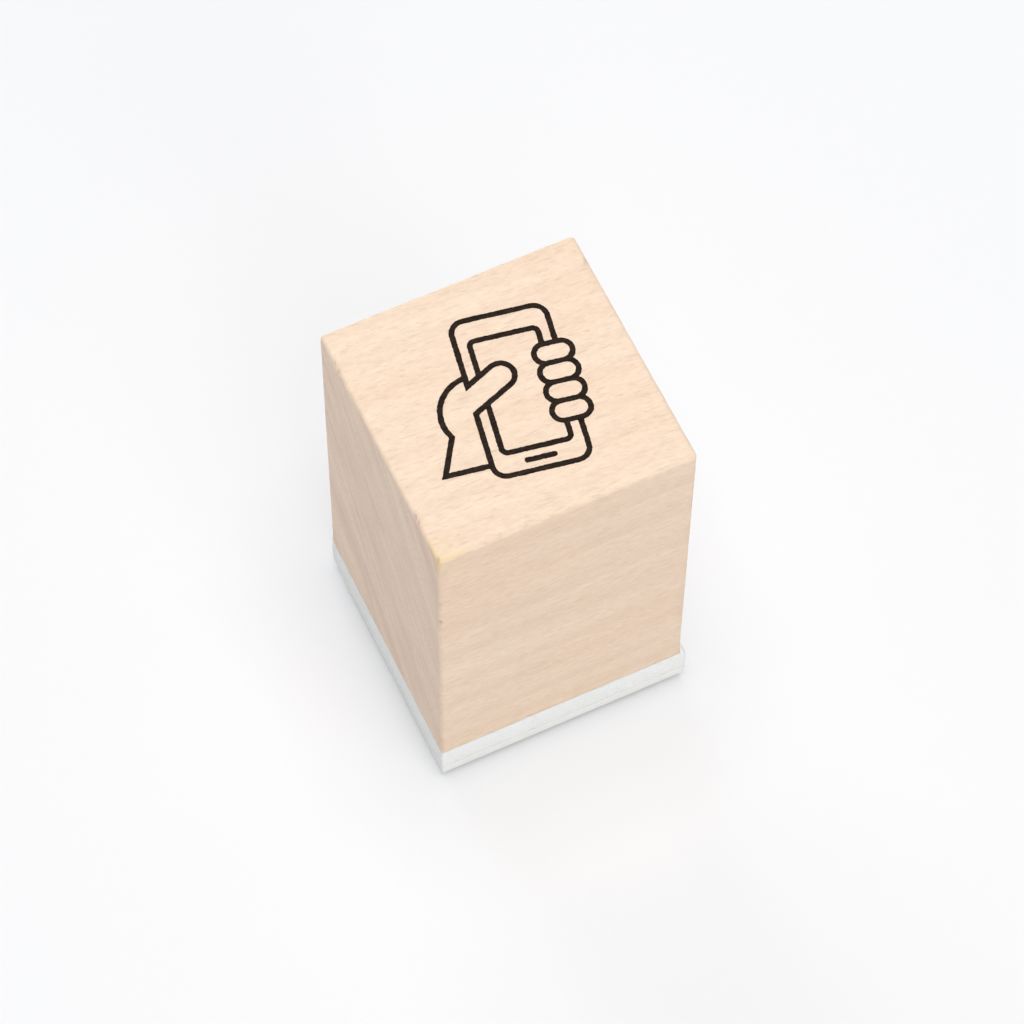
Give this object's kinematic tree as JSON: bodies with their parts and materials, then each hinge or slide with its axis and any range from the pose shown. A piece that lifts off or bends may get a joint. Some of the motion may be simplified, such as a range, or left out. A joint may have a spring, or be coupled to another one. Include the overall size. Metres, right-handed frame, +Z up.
{
  "type": "rubber stamp",
  "caption": "Small wood-mounted rubber stamp: square hardwood block with a printed index picture (a plain pictogram of a hand and a telephone), foam cushion and relief rubber die on adhesive films.",
  "frame": {"origin": "centre of the die's outline, in the plane of the printing face, which is the plane that the stamp rests on", "axes": "+Z up from the paper through the block; +X to the right of the printed picture, along the wood's grain; +Y towards the picture's top, and the front of the block faces -Y"},
  "size_m": [0.0204, 0.0202, 0.0348],
  "materials": {
    "block_wood": "sanded, unfinished",
    "print_ink": "matt ink film",
    "adhesive_film": "translucent film",
    "cushion_foam": "fine closed-cell foam",
    "die_rubber": "matt moulded rubber"
  },
  "bodies": {
    "die": {"rubber_die": "die_rubber", "die_adhesive": "adhesive_film", "foam_cushion": "cushion_foam"},
    "block": {"wood_block": "block_wood", "index_print": "print_ink", "block_adhesive": "adhesive_film"}
  },
  "joints": [
    {"name": "cushion_press", "type": "slide", "parent": "die", "child": "block", "axis": [0, 0, -1], "range_m": [0, 0.0006], "stiffness_N_per_m": 30000, "deforming": ["foam_cushion"]}
  ]
}
